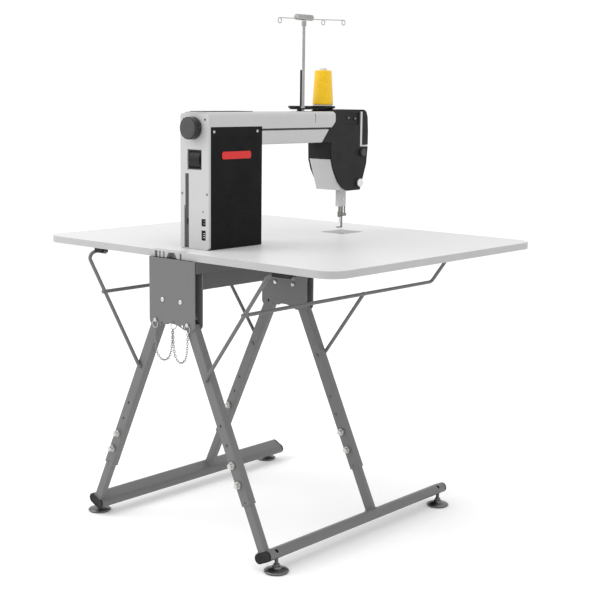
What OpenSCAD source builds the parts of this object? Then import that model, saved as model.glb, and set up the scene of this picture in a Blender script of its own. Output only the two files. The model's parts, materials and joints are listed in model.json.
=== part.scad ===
// Sewing table with folding leg frames and a fitted long-arm sewing machine.
// Millimetres. +Z up, +Y towards the column end of the table, the operator sits at -Y.
// The origin is on the floor under the middle of the whole object.

/* [Tabletop] */
// Width of the tabletop along X
top_w = 1080; // [1000:5:1200]
// Depth of the tabletop along Y
top_d = 905; // [895:5:1000]
// Height of the work surface above the floor
top_h = 790; // [785:1:795]
// Thickness of the board
top_t = 19; // [16:1:22]
// Corner radius of the board
top_r = 55; // [20:1:90]
// Thickness of the glued edge band
band_t = 1.5; // [1:0.5:3]

/* [Leg brackets] */
// Half width of each bracket plate
plate_hw = 86; // [80:1:90]
// Thickness of a bracket plate
plate_t = 3; // [2.5:0.5:4]
// Height of the lowest edge of the plates
plate_low = 589; // [585:1:592]
// Corner radius at the foot of the plates
plate_r = 15; // [8:1:18]
// Height of the arch at the middle of the plate's lower edge
arch_rise = 11; // [6:1:12]
// Half width of that arch
arch_hw = 45; // [40:1:48]
// Distance of each leg pivot from the middle
pivot_x = 34; // [32:1:38]
// Height of the leg pivots
pivot_z = 661; // [655:1:665]
// Position of the rear pair of legs along Y
rear_leg_y = 445.5; // [440:0.5:448]
// Position of the middle pair of legs along Y
mid_leg_y = 5; // [0:1:20]

/* [Legs] */
// Angle of the open legs from vertical
leg_a = 25.2; // [22:0.1:26]
// Angle from vertical at which the legs lock when folded
fold_a = 3.6; // [3:0.1:6]
// Width of the outer leg tube across the fold
tube_w = 32; // [30:1:34]
// Depth of the outer leg tube along Y
tube_d = 24; // [22:1:26]
// Wall of the leg tubes
tube_wall = 2.5; // [2:0.5:3]
// Distance from the pivot to the lower end of the outer tube
tube_end = 550; // [540:5:560]
// Distance from the pivot to the middle of the floor bar
bar_s = 686; // [680:1:690]
// Distance from the pivot to the first height hole
hole_s = 337.6; // [330:0.2:340]
// Spacing of the height holes
hole_pitch = 52.2; // [50:0.2:54]
// Radius of the lock pins
pin_r = 3.9; // [3:0.1:4]
// Distance from the pivot to the lock pin
lock_s = 63.5; // [62:0.5:65]
// Distance from the pivot to the hook of the brace
hook_s = 215.5; // [200:0.5:230]

/* [Floor bars] */
// Width of the flat-oval bar
bar_w = 55; // [50:1:60]
// Thickness of the flat-oval bar
bar_t = 28; // [25:1:30]
// Rear end of the bar
bar_rear = 452; // [440:1:455]
// Front end of the bar
bar_front = -314; // [-330:1:-300]
// Length of an end cap
cap_l = 6; // [4:1:8]
// Radius of a levelling foot
foot_r = 32.5; // [25:0.5:36]
// Distance of the feet outside the middle of the bar
foot_out = 20; // [16:1:21]
// Position of the rear feet along Y
foot_rear = 426; // [400:1:430]
// Position of the front feet along Y
foot_front = -284; // [-300:1:-270]

/* [Braces] */
// Radius of the brace rod
rod_r = 5; // [4:0.5:5]
// Distance of the cross rod from the middle
cross_x = 265.8; // [260:0.2:270]
// Height of the cross rod
cross_z = 656; // [650:1:660]
// Position of the front arm along Y
brace_front = -335; // [-345:1:-325]
// Rod end of the right brace, inwards, and its clip
right_end_x = 285; // [280:1:290]
// Rod end of the left brace, outwards, and its clip
left_end_x = 408; // [400:1:415]

/* [Machine column] */
// Half width of the rear panel
panel_hw = 53; // [52:0.5:54]
// Outer face of the rear panel
panel_y = 377; // [370:1:380]
// Thickness of the rear panel
panel_t = 7.5; // [6:0.5:9]
// Front end of the column
column_front = 171; // [165:1:175]
// Half width of the column over its side panels
column_hw = 51; // [50:0.5:52]
// Top of the side panels
side_top = 1111; // [1108:1:1113]
// Pitch of the ribs on the side panels
rib_pitch = 5.5; // [5:0.5:8]

/* [Machine arm and head] */
// Half width of the arm covers
arm_hw = 50; // [49:0.5:51]
// Underside of the arm
arm_low = 1062; // [1055:1:1066]
// Top of the arm
arm_top = 1150; // [1146:1:1152]
// Top edge of the lower arm cover
arm_gap_low = 1100; // [1096:1:1101]
// Bottom edge of the upper arm cover
arm_gap_high = 1105; // [1103:1:1107]
// Front end of the upper arm cover
arm_front = -141; // [-145:1:-138]
// Half width of the head
head_hw = 45; // [42:0.5:46]
// Height of the upper shaft and the handwheel
shaft_z = 1108; // [1104:1:1112]
// Radius of the handwheel
wheel_r = 29.6; // [25:0.1:31]
// Needle position along Y
needle_y = -226; // [-230:1:-222]
// Height of the needle point
needle_tip = 817; // [816:1:822]

/* [Thread stand] */
// Radius of the two spool plates
disc_r = 36.5; // [30:0.5:37]
// Top of the mast
mast_top = 1388; // [1350:1:1420]
// Height of the thread cone
cone_h = 99; // [80:1:110]

/* [Hidden] */

gap = 0.3;            // clearance between pieces that move past each other
fit = 0.05;           // radial clearance of a running fit
bend_lap = 0.5;       // how far the runs of a bent rod overlap at a bend, in rod radii
top_under = top_h - top_t;
top_rear = top_d / 2;
rear_reach = rear_leg_y + tube_d / 2 + 15.5;
y_home = -(rear_reach - top_rear) / 2;
arch_r = (pow(arch_hw, 2) + pow(arch_rise, 2)) / (2 * arch_rise);
rail_low = 740;
rail_in = 74;
rail_out = 88;
trough_hw = 72;
trough_low = 693;
bolt_r = 4;
plate_gap = tube_d / 2 + gap;
lock_x = pivot_x + lock_s * sin(leg_a);
lock_z = pivot_z - lock_s * cos(leg_a);
bar_x = pivot_x + bar_s * sin(leg_a);
bar_z = pivot_z - bar_s * cos(leg_a);
foot_x = bar_x + foot_out;
hook_x = pivot_x + hook_s * sin(leg_a);
hook_z = pivot_z - hook_s * cos(leg_a);
rear_arm_y = rear_leg_y + tube_d / 2 + rod_r + gap;
mid_arm_y = mid_leg_y - tube_d / 2 - rod_r - gap;
clip_z = 761.5;
clip_y = 441;
arm_rise = (clip_z - 14 - hook_z) / (cross_z - hook_z);
arm_top_x = hook_x + (cross_x - hook_x) * arm_rise;
bed_top = top_under - 0.3;
hook_axis_z = 752;
wheel_y = 402.5;
spool_pins = [[30, -78.5], [12, -155.6]];
mast_at = [-6, -47];
head_outline = [
    [-130, 1066], [-132, 1009], [-141.7, 981], [-163, 947], [-184, 927], [-205, 917.5],
    [-265.5, 918.3], [-294, 994], [-300, 1046], [-300, 1093], [-297, 1134], [-290, 1150],
    [-280, 1155], [-150, 1155], [-142, 1150], [-142, 1066]
];

// ---------- helpers ----------
module home() translate([0, y_home, 0]) children();

// A rectangle with round corners, centred
module rounded_rect(w, d, r) {
    square([w - 2 * r, d], center = true);
    square([w, d - 2 * r], center = true);
    for (x = [-1, 1], y = [-1, 1])
        translate([x * (w / 2 - r), y * (d / 2 - r)]) circle(r = r, $fn = 48);
}

// A flat profile drawn as (x, z), standing from y to y + t
module wall_xz(y, t) translate([0, y + t, 0]) rotate([90, 0, 0]) linear_extrude(t) children();

// A flat profile drawn as (y, z), standing from x to x + t
module wall_yz(x, t) translate([x, 0, 0]) rotate([90, 0, 90]) linear_extrude(t) children();

// A block given by its two corners
module block(a, b) translate(a) cube(b - a);

// A round rod from a to b
module rod(a, b, r, n = 32) {
    v = b - a;
    translate(a) rotate([0, acos(v[2] / norm(v)), atan2(v[1], v[0])])
        cylinder(h = norm(v), r = r, $fn = n);
}

// A rod through a list of points; runs overlap at each bend and alternate a little in radius
module bent_rod(points, r, n = 32) {
    last = len(points) - 2;
    for (i = [0 : last]) {
        d = (points[i + 1] - points[i]) / norm(points[i + 1] - points[i]) * r * bend_lap;
        rod(points[i] - (i > 0 ? 1 : 0) * d, points[i + 1] + (i < last ? 1 : 0) * d,
            r * (1 - (i % 2) * 0.025), n);
    }
}

// A cylinder along Y from y0 to y1
module y_cyl(x, z, y0, y1, r, n = 48)
    translate([x, y0, z]) rotate([-90, 0, 0]) cylinder(h = y1 - y0, r = r, $fn = n);

// A cylinder along X from x0 to x1
module x_cyl(y, z, x0, x1, r, n = 48)
    translate([x0, y, z]) rotate([0, 90, 0]) cylinder(h = x1 - x0, r = r, $fn = n);

// A ring of wire, lying in the XZ plane when facing is 0
module wire_ring(x, y, z, big, wire, facing = 0)
    translate([x, y, z]) rotate([0, 0, facing]) rotate([90, 0, 0])
        rotate_extrude($fn = 32) translate([big, 0]) circle(r = wire, $fn = 16);

// Everything drawn for the +X side, on either side
module on_side(side) mirror([side < 0 ? 1 : 0, 0, 0]) children();

// Local frame of a +X leg: origin at its pivot, +Z down along the leg
module leg_frame(y) translate([pivot_x, y, pivot_z]) rotate([0, 180 - leg_a, 0]) children();

// A cross bore through a leg, in its local frame
module leg_bore(s, r) translate([0, 0, s]) rotate([90, 0, 0])
    cylinder(h = 2 * tube_d, r = r, center = true, $fn = 32);

// ---------- tabletop ----------
module tabletop() home() color("white") difference() {
    translate([0, 0, top_under]) linear_extrude(top_t)
        rounded_rect(top_w - 2 * band_t, top_d - 2 * band_t, top_r - band_t);
    block([-panel_hw - 0.6, column_front - 0.6, top_under - 1],
          [panel_hw + 0.6, panel_y + 0.6, top_h + 1]);
    block([-43.3, -286.3, top_under - 1], [43.3, -189.7, top_h + 1]);
    comb_space(0);
}

module edge_band() home() color("gainsboro") difference() {
    translate([0, 0, top_under]) linear_extrude(top_t) difference() {
        rounded_rect(top_w, top_d, top_r);
        rounded_rect(top_w - 2 * band_t, top_d - 2 * band_t, top_r - band_t);
    }
    comb_space(0);
}

comb_x = [-38, 84];
comb_d = 22;

// The notch in the rear edge that takes the cable comb
module comb_space(shrink) block([comb_x[0] + shrink, top_rear - comb_d, top_under - 1 + shrink],
                                [comb_x[1] - shrink, top_rear + 1, top_h + 1 - shrink]);

module cable_comb() home() color("gainsboro") difference() {
    block([comb_x[0], top_rear - comb_d, top_under], [comb_x[1], top_rear, top_h]);
    for (x = [[63, 73], [51, 56], [35.5, 40.5], [-29, -22]])
        block([x[0], top_rear - 14, top_under - 1], [x[1], top_rear + 1, top_h - 3]);
    wall_xz(top_rear - 18, 20)
        polygon([[-12, top_under - 1], [29, top_under - 1], [20, 786], [-3, 786]]);
}

// ---------- brackets and beams ----------
// Outline of a bracket plate with the leg holes, as (x, z)
module plate_outline() difference() {
    union() {
        translate([-plate_hw, plate_low + plate_r])
            square([2 * plate_hw, top_under - gap - plate_low - plate_r]);
        translate([-plate_hw + plate_r, plate_low])
            square([2 * (plate_hw - plate_r), 2 * plate_r]);
        for (x = [-1, 1]) translate([x * (plate_hw - plate_r), plate_low + plate_r])
            circle(r = plate_r, $fn = 48);
    }
    translate([0, plate_low + arch_rise - arch_r]) circle(r = arch_r, $fn = 96);
    for (x = [-1, 1]) {
        translate([x * pivot_x, pivot_z]) circle(r = bolt_r + 0.1, $fn = 32);
        translate([x * lock_x, lock_z]) circle(r = pin_r + 0.1, $fn = 32);
        translate([x * (pivot_x + lock_s * sin(fold_a)), pivot_z - lock_s * cos(fold_a)])
            circle(r = pin_r + 0.1, $fn = 32);
    }
}

// Cuts at the upper corners that let the side rails pass
module rail_notches() for (x = [-1, 1])
    translate([x * (rail_in - gap + 20), rail_low - gap + 25]) square([40, 50], center = true);

module rear_bracket() home() color("gray") {
    wall_xz(rear_leg_y + plate_gap, plate_t) difference() {
        plate_outline();
        translate([-6, plate_low + arch_rise + 5]) circle(r = 2.2, $fn = 24);
    }
    wall_xz(rear_leg_y - plate_gap - plate_t, plate_t) difference() {
        plate_outline();
        rail_notches();
    }
}

module middle_bracket() home() color("gray")
    for (y = [mid_leg_y + plate_gap, mid_leg_y - plate_gap - plate_t])
        wall_xz(y, plate_t) difference() {
            plate_outline();
            rail_notches();
            translate([-trough_hw - gap, trough_low - gap]) square([2 * (trough_hw + gap), 100]);
        }

module side_rails() home() color("dimgray") for (side = [-1, 1]) on_side(side)
    difference() {
        block([rail_in, -400, rail_low], [rail_out, rear_leg_y + tube_d / 2, top_under]);
        block([rail_in + 2, -401, rail_low + 2], [rail_out - 2, 500, top_under - 2]);
    }

module machine_trough() home() color("dimgray") difference() {
    block([-trough_hw, -345, trough_low],
          [trough_hw, rear_leg_y - plate_gap - plate_t, top_under]);
    block([-trough_hw + 2.5, -342.5, trough_low + 2.5], [trough_hw - 2.5, 500, top_under + 1]);
}

module hex_head(r, h) cylinder(h = h, r = r, $fn = 6);

module pivot_bolts() home() color("silver")
    for (x = [-1, 1], y = [rear_leg_y, mid_leg_y]) translate([x * pivot_x, y, pivot_z]) {
        reach = plate_gap + plate_t;
        rotate([-90, 0, 0]) translate([0, 0, -reach - 3]) cylinder(h = 2 * reach + 3, r = bolt_r, $fn = 48);
        translate([0, reach, 0]) rotate([-90, 0, 0])
            rotate_extrude($fn = 48) polygon([[0, 0], [6.6, 0], [6, 2], [4, 3.2], [0, 3.6]]);
        translate([0, -reach, 0]) rotate([90, 0, 0]) hex_head(7.5, 4);
    }

// A clip under the board, open at the bottom, that holds the bent end of a brace
module clip(x0, x1, y) difference() {
    block([x0, y - 11, clip_z - 2.5], [x1, y + 11, top_under]);
    block([x0 - 1, y - rod_r - 0.6, clip_z - 20], [x1 + 1, y + rod_r + 0.6, clip_z + rod_r + 0.6]);
    for (s = [-1, 1]) translate([(x0 + x1) / 2, y + s * 11, clip_z - 2.5]) rotate([45, 0, 0])
        cube([x1 - x0 + 2, 3, 3], center = true);
}

module brace_clips() home() color("black") for (y = [clip_y, brace_front]) {
    clip(right_end_x + 4, arm_top_x - 12, y);
    clip(-left_end_x + 4, -arm_top_x - 12, y);
}

// ---------- folding legs ----------
module leg_tube(w, d, wall, s0, s1) difference() {
    translate([0, 0, s0]) linear_extrude(s1 - s0) rounded_rect(w, d, 3);
    translate([0, 0, s0 - 1]) linear_extrude(s1 - s0 + 2) rounded_rect(w - 2 * wall, d - 2 * wall, 1);
}

module upper_leg(y) leg_frame(y)
    difference() {
        union() {
            leg_tube(tube_w, tube_d, tube_wall, -20, tube_end);
            rotate([90, 0, 0]) cylinder(h = tube_d - 2, r = 9, center = true, $fn = 48);
            translate([0, 0, hook_s]) rotate([90, 0, 0])
                cylinder(h = tube_d - 2, r = 8, center = true, $fn = 48);
        }
        leg_bore(0, bolt_r + fit);
        leg_bore(hook_s, rod_r + fit);
        leg_bore(lock_s, pin_r + 0.2);
        // Way out for the lock pin while the leg folds past it
        translate([-tube_w, -tube_d, lock_s - 7]) cube([tube_w, 2 * tube_d, 11.2]);
        for (i = [0 : 3]) translate([0, 0, hole_s + i * hole_pitch]) rotate([-90, 0, 0])
            cylinder(h = tube_d, r = 4, $fn = 32);
        translate([0, 0, tube_end - 8]) rotate([-90, 0, 0]) cylinder(h = tube_d, r = 2.5, $fn = 24);
    }

module upper_legs() {
    upper_leg(rear_leg_y);
    upper_leg(mid_leg_y);
}

module left_upper_legs() home() color("gray") on_side(-1) upper_legs();
module right_upper_legs() home() color("gray") on_side(1) upper_legs();

// Clamping bolts in the outer tube: weld collar, shank and hexagon head
module height_bolts() for (y = [rear_leg_y, mid_leg_y]) leg_frame(y) for (i = [2, 3])
    translate([0, 0, hole_s + i * hole_pitch]) rotate([-90, 0, 0]) {
        translate([0, 0, tube_d / 2 - tube_wall]) cylinder(h = 8, r = 4, $fn = 32);
        translate([0, 0, tube_d / 2]) cylinder(h = 5, r = 8.5, $fn = 48);
        translate([0, 0, tube_d / 2 + 5]) cylinder(h = 2, r = 9.5, $fn = 48);
        translate([0, 0, tube_d / 2 + 7]) cylinder(h = 7, r = 7.5, $fn = 6);
        translate([0, 0, tube_d / 2 + 14]) cylinder(h = 1.5, r = 6, $fn = 48);
    }

module left_height_bolts() home() color("silver") on_side(-1) height_bolts();
module right_height_bolts() home() color("silver") on_side(1) height_bolts();

inner_w = tube_w - 2 * tube_wall - 2 * gap;
inner_d = tube_d - 2 * tube_wall - 2 * gap;

module lower_legs() for (y = [rear_leg_y, mid_leg_y]) leg_frame(y)
    leg_tube(inner_w, inner_d, 2, 300, bar_s - bar_t / 2);

module left_lower_legs() home() color("gray") on_side(-1) lower_legs();
module right_lower_legs() home() color("gray") on_side(1) lower_legs();

// Flat-oval section of the floor bar, its flat faces square to the leg
module bar_section(w, t) {
    square([w - t, t], center = true);
    for (s = [-1, 1]) translate([s * (w - t) / 2, 0]) circle(r = t / 2, $fn = 48);
}

module bar_extrude(y0, y1, w, t)
    translate([bar_x, y1, bar_z]) rotate([90, -leg_a, 0])
        linear_extrude(y1 - y0) bar_section(w, t);

stud_r = 5;

module floor_bar() difference() {
    bar_extrude(bar_front, bar_rear, bar_w, bar_t);
    bar_extrude(bar_front - 1, bar_rear + 1, bar_w - 4, bar_t - 4);
    for (y = [foot_rear, foot_front]) translate([foot_x, y, 0])
        cylinder(h = 100, r = stud_r + fit, $fn = 48);
}

module left_floor_bar() home() color("gray") on_side(-1) floor_bar();
module right_floor_bar() home() color("gray") on_side(1) floor_bar();

module bar_caps() {
    for (end = [[bar_rear, 1], [bar_front, -1]]) {
        y = end[0];
        d = end[1];
        bar_extrude(min(y, y + d * cap_l), max(y, y + d * cap_l), bar_w, bar_t);
        bar_extrude(min(y, y - d * 9), max(y, y - d * 9), bar_w - 4.4, bar_t - 4.4);
    }
}

module left_bar_caps() home() color("black") on_side(-1) bar_caps();
module right_bar_caps() home() color("black") on_side(1) bar_caps();

module foot(y) translate([foot_x, y, 0]) {
    rotate_extrude($fn = 64) polygon([
        [0, 0], [foot_r - 2, 0], [foot_r, 2], [foot_r, 5], [foot_r - 3, 8], [14, 12], [11, 16], [0, 16]
    ]);
    translate([0, 0, 16]) cylinder(h = 6, r = 8.5, $fn = 6);
    cylinder(h = 44, r = stud_r, $fn = 48);
}

module rear_left_foot() home() color("dimgray") on_side(-1) foot(foot_rear);
module front_left_foot() home() color("dimgray") on_side(-1) foot(foot_front);
module rear_right_foot() home() color("dimgray") on_side(1) foot(foot_rear);
module front_right_foot() home() color("dimgray") on_side(1) foot(foot_front);

// ---------- braces ----------
// One arm of the brace from the leg hook up past the cross rod, in its own plane y
module brace_hook(y, leg_y, turn)
    bent_rod([[hook_x, leg_y - turn * (tube_d / 2 + 4), hook_z], [hook_x, y, hook_z],
              [cross_x, y, cross_z]], rod_r);

// Upper end of an arm: from the cross rod to its bent end inside the clip
module brace_top(y, y_clip, x_end) bent_rod([
    [cross_x, y, cross_z], [arm_top_x - 3, y, clip_z - 18],
    [arm_top_x - 2, (y + y_clip) / 2, clip_z - 5],
    [arm_top_x - (x_end < arm_top_x ? 9 : -9), y_clip, clip_z], [x_end, y_clip, clip_z]], rod_r);

// A brace for the +X side whose upper ends reach to x_end
module brace(x_end) {
    brace_hook(rear_arm_y, rear_leg_y, 1);
    brace_hook(mid_arm_y, mid_leg_y, -1);
    brace_top(rear_arm_y, clip_y, x_end);
    brace_top(brace_front, brace_front, x_end);
    rod([cross_x, rear_arm_y + 3, cross_z], [cross_x, brace_front - 3, cross_z], rod_r - 0.3);
}

module left_brace() home() color("dimgray") on_side(-1) brace(left_end_x);
module right_brace() home() color("dimgray") on_side(1) brace(right_end_x);

// ---------- lock pins and their chain ----------
pin_face = rear_leg_y + plate_gap + plate_t;

module lock_pin() {
    y_cyl(lock_x, lock_z, rear_leg_y - 32, pin_face + 0.2, pin_r);
    translate([lock_x, pin_face + 0.2, lock_z]) rotate([-90, 0, 0])
        rotate_extrude($fn = 48) polygon([[0, 0], [5.5, 0], [5.5, 4], [4.5, 5], [0, 5]]);
    wire_ring(lock_x, pin_face + 3, lock_z - 10.5, 10, 0.9);
}

module left_lock_pin() home() color("silver") on_side(-1) lock_pin();
module right_lock_pin() home() color("silver") on_side(1) lock_pin();

chain_hole = [-6, plate_low + arch_rise + 5];
chain_top = [-6, 583];
chain_n = 16;

// Height of a hanging chain between its two ends, t from 0 to 1
function chain_point(side, t) =
    let (end = [side * lock_x, lock_z - 22], mid = chain_top - [0, 4])
    [mid[0] + (end[0] - mid[0]) * (t - 0.12 * sin(360 * t)),
     mid[1] + (end[1] - mid[1]) * t - 88 * pow(sin(180 * t), 0.7)];

module pin_chains() home() color("silver") {
    wire_ring(chain_hole[0], pin_face - plate_t / 2, chain_hole[1] - 9.5, 10, 0.9, 90);
    for (side = [-1, 1], i = [0 : chain_n]) {
        p = chain_point(side, (i + 0.5) / (chain_n + 1));
        wire_ring(p[0], pin_face + 2.5 + side * 1.5, p[1], 2.6, 0.7, i % 2 == 0 ? 35 : -35);
    }
}

// ---------- machine bed ----------
module machine_bed() home() color("gainsboro") difference() {
    union() {
        block([-50, -330, 700], [50, 369.2, bed_top]);
        block([-42.8, -285.8, bed_top - 1], [42.8, -190.2, top_h - 3.2]);
        for (x = [-36, 36], y = [-300, 20, 340]) translate([x, y, trough_low + 2.5])
            cylinder(h = 8, r = 10, $fn = 32);
    }
    difference() {
        block([-45, -325, 706], [45, 364, 764]);
        for (y = [-150, 200]) block([-50, y, 700], [50, y + 8, 770]);
    }
    block([-30, -275, 760], [30, -201, 800]);
    block([-40, 215, 760], [40, 360, 780]);
    for (y = [-151, 199]) y_cyl(0, hook_axis_z, y, y + 10, 6 + fit);
}

module needle_plate() home() color("silver") difference() {
    translate([0, -238, top_h - 3]) linear_extrude(3.3) rounded_rect(86, 96, 3);
    translate([0, needle_y, top_h - 10]) cylinder(h = 20, r = 3, $fn = 32);
    for (x = [-36, 36], y = [-279, -197]) translate([x, y, top_h - 1]) cylinder(h = 4, r = 3, $fn = 32);
}

// ---------- column ----------
module column_frame() home() color("darkgray") difference() {
    block([-45.5, column_front + 0.5, bed_top], [45.5, panel_y - panel_t - 0.2, arm_low + 4.5]);
    block([-40, column_front + 6, bed_top - 1], [40, panel_y + 1, arm_low - 1.5]);
    block([-36, column_front + 12, bed_top], [36, panel_y + 1, arm_low + 6]);
}

module rear_panel() home() color("lightgray") difference() {
    wall_xz(panel_y - panel_t, panel_t) translate([0, (top_h + 0.5 + 1146) / 2])
        rounded_rect(2 * panel_hw, 1146 - top_h - 0.5, 9);
    block([-24.8, panel_y - panel_t - 1, 1000.7], [24.8, panel_y + 1, 1051.3]);
    block([-26.5, panel_y - 2.5, 999], [26.5, panel_y + 1, 1053]);
    block([21.5, panel_y - 5, 792], [35.3, panel_y + 1, 989]);
    block([33, panel_y - 5, 792], [39, panel_y + 1, 905]);
    block([-41.6, panel_y - panel_t - 1, 852.7], [-26, panel_y + 1, 872.3]);
    block([-41.6, panel_y - panel_t - 1, 815.4], [-26, panel_y + 1, 842]);
    y_cyl(-32, 891, panel_y - 4, panel_y + 1, 2.5, 32);
    y_cyl(0, shaft_z, panel_y - panel_t - 1, panel_y + 1, 7, 48);
}

// A ribbed side panel of the column; ribs run along Y
module side_panel() {
    h0 = top_h + 0.5;
    y1 = panel_y - panel_t - 0.4;
    block([45.7, column_front, h0], [column_hw - 1, y1, side_top]);
    for (z = [h0 + 3 : rib_pitch : side_top - 22])
        block([column_hw - 1.5, column_front + 2, z], [column_hw, y1 - 1, z + rib_pitch * 0.55]);
}

module left_side_panel() home() color("black") on_side(-1) side_panel();
module right_side_panel() home() color("black") on_side(1) side_panel();

module panel_screws() home() color("silver") {
    for (side = [-1, 1], y = [column_front + 19.5, 355]) on_side(side)
        x_cyl(y, side_top - 12, column_hw - 1, column_hw + 1.2, 4, 32);
    for (p = [[-46.5, 937], [46.5, 936], [-40, 1131], [40, 1131]])
        y_cyl(p[0], p[1], panel_y, panel_y + 1, 3.5, 32);
}

switch_z = 1026;

// Rocker in the rear panel, turning about a level axis
module power_switch() home() color("dimgray") {
    intersection() {
        block([-20, panel_y - 12, switch_z - 20.5], [20, panel_y + 4, switch_z + 20.5]);
        x_cyl(panel_y - 30, switch_z, -20, 20, 33, 96);
    }
    x_cyl(panel_y - 4.5, switch_z, -20.45, 20.45, 1.5, 32);
}

module rear_sockets() home() color("black") {
    difference() {
        block([-24.5, panel_y - 14, 1001], [24.5, panel_y - 1.2, 1051]);
        block([-20.5, panel_y - 40, switch_z - 21.2], [20.5, panel_y + 5, switch_z + 21.2]);
    }
    for (z = [[853, 872], [815.7, 841.7]]) difference() {
        block([-41.3, panel_y - 7.2, z[0]], [-26.3, panel_y - 1, z[1]]);
        block([-38.5, panel_y - 5.8, z[0] + 2.5], [-28.5, panel_y, z[1] - 2.5]);
    }
    block([22, panel_y - 4.8, 854.5], [30.5, panel_y - 1, 870]);
}

// ---------- drive ----------
module handwheel() home() color("dimgray") translate([0, 0, shaft_z]) rotate([-90, 0, 0])
    difference() {
        rotate_extrude($fn = 96) polygon([
            [0, 377.5], [12, 377.5], [12, 378.6], [wheel_r, 378.6], [wheel_r, wheel_y - 1.5],
            [wheel_r - 1.5, wheel_y], [0, wheel_y]
        ]);
        translate([0, 0, 370]) cylinder(h = 22, r = 6, $fn = 48);
    }

module upper_shaft() home() color("silver") {
    y_cyl(0, shaft_z, -222, 392, 6);
    y_cyl(0, shaft_z, 293, 307, 24, 64);
    y_cyl(0, shaft_z, -222, -214, 16);
}

module hook_shaft() home() color("silver") {
    y_cyl(0, hook_axis_z, -208, 312, 6);
    y_cyl(0, hook_axis_z, 293, 307, 12);
}

module rotary_hook() home() color("silver") difference() {
    y_cyl(0, hook_axis_z, -242, -208, 21.5, 64);
    y_cyl(0, hook_axis_z, -243, -216, 16, 64);
}

belt_t = 2.5;
belt_pulleys = [[shaft_z, 24.3], [hook_axis_z, 12.3]];
belt_slope = asin((belt_pulleys[0][1] - belt_pulleys[1][1]) / (shaft_z - hook_axis_z));

// One loop: a half ring round each pulley and two straight runs between them
module drive_belt() home() color("black") {
    for (i = [0, 1]) let (p = belt_pulleys[i]) difference() {
        y_cyl(0, p[0], 295, 305, p[1] + belt_t, 64);
        y_cyl(0, p[0], 294, 306, p[1], 64);
        block([-40, 290, i == 0 ? p[0] - 60 : p[0] - 1], [40, 310, i == 0 ? p[0] - 1 : p[0] + 60]);
    }
    for (side = [-1, 1]) on_side(side) wall_xz(295, 10) polygon([
        for (q = [[0, 0.15, 1], [0, belt_t - 0.15, 1], [1, belt_t - 0.15, -3], [1, 0.15, -3]])
            let (p = belt_pulleys[q[0]], r = p[1] + q[1])
            [r * cos(belt_slope), p[0] - r * sin(belt_slope) + q[2]]]);
}

module drive_motor() home() color("dimgray") {
    y_cyl(0, 920, 190, 262, 34, 64);
    y_cyl(0, 920, 262, 300, 5);
    block([-39.9, 190, 880], [39.9, 198, 960]);
}

// ---------- arm ----------
module arm_frame() home() color("dimgray") difference() {
    block([-43, -126, arm_low + 4.5], [43, panel_y - panel_t - 0.5, arm_top - 5]);
    for (y = [[-120, -20], [-8, 160], [172, 362]])
        block([-38, y[0], arm_low + 10], [38, y[1], arm_top - 10]);
    block([-38, 280, arm_low - 1], [38, 320, arm_low + 20]);
    y_cyl(0, shaft_z, -130, 380, 6 + fit);
}

// Outside of the upper arm cover, rounded along its top edges
module upper_cover_outline(inset) {
    w = arm_hw - inset;
    top = arm_top - inset;
    r = 13 - inset;
    translate([-w, arm_gap_high]) square([2 * w, top - r - arm_gap_high]);
    translate([-w + r, arm_gap_high]) square([2 * (w - r), top - arm_gap_high]);
    for (s = [-1, 1]) translate([s * (w - r), top - r]) circle(r = r, $fn = 48);
}

module arm_upper_cover() home() color("lightgray") difference() {
    wall_xz(arm_front, panel_y - panel_t - 0.4 - arm_front) difference() {
        upper_cover_outline(0);
        translate([0, -1]) upper_cover_outline(4);
        translate([-43.2, arm_gap_high - 1]) square([86.4, 41.2]);
    }
    for (s = [-1, 1]) block([s > 0 ? 45.4 : -60, column_front - 0.3, 1090],
                            [s > 0 ? 60 : -45.4, 400, side_top + 0.3]);
    wall_yz(-60, 120) polygon([[arm_front - 1, arm_gap_high - 1], [arm_front - 1, 1122],
                              [arm_front + 17.5, arm_gap_high - 1]]);
    translate([mast_at[0], mast_at[1], arm_top - 10]) cylinder(h = 20, r = 4 + fit, $fn = 48);
}

module arm_lower_cover() home() color("lightgray") difference() {
    wall_xz(arm_front, column_front - arm_front) difference() {
        translate([0, (arm_low + arm_gap_low) / 2])
            rounded_rect(2 * arm_hw, arm_gap_low - arm_low, 4);
        translate([-43.3, arm_low + 4.2]) square([86.6, 60]);
    }
    wall_yz(-60, 120) polygon([[arm_front - 1, arm_low - 1], [-80, arm_low - 1],
                              [-113.5, arm_gap_low + 1], [arm_front - 1, arm_gap_low + 1]]);
}

// ---------- head ----------
module head_frame() home() color("whitesmoke") {
    difference() {
        wall_yz(-39.8, 79.6) polygon([
            [-136, 1066], [-136, 1013], [-170, 940], [-206, 922], [-262, 922], [-289, 994],
            [-295, 1046], [-295, 1093], [-292, 1134], [-284, 1150], [-145, 1150], [-145, 1145],
            [-126.2, 1145], [-126.2, 1066]]);
        block([-33, -282, 1000], [33, -150, 1142]);
        block([-33, -262, 930], [33, -190, 1010]);
        block([-4.5, -300, 1064], [4.5, -270, 1147]);
        block([-33, -160, 1076], [33, -131, 1136]);
        for (p = [[needle_y, 4], [-238, 3.2], [-250, 2.5]])
            translate([0, p[0], 900]) cylinder(h = 40, r = p[1] + fit, $fn = 48);
        y_cyl(0, shaft_z, -160, -120, 6.5);
    }
    difference() {
        block([-7.5, -246, 868], [7.5, -216, 922]);
        for (p = [[needle_y, 4], [-238, 3.2]])
            translate([0, p[0], 860]) cylinder(h = 80, r = p[1] + fit, $fn = 48);
    }
    // Light strip that shows between the side cover and the front cover
    for (s = [-1, 1]) on_side(s) {
        block([39.8, -272.3, 1046.5], [head_hw - 0.3, -263.2, 1149]);
        block([39.8, -299, 1046.5], [head_hw - 0.3, -272.3, 1051]);
    }
    x_cyl(-262, 1090, -33, 33, 3);
}

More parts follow.
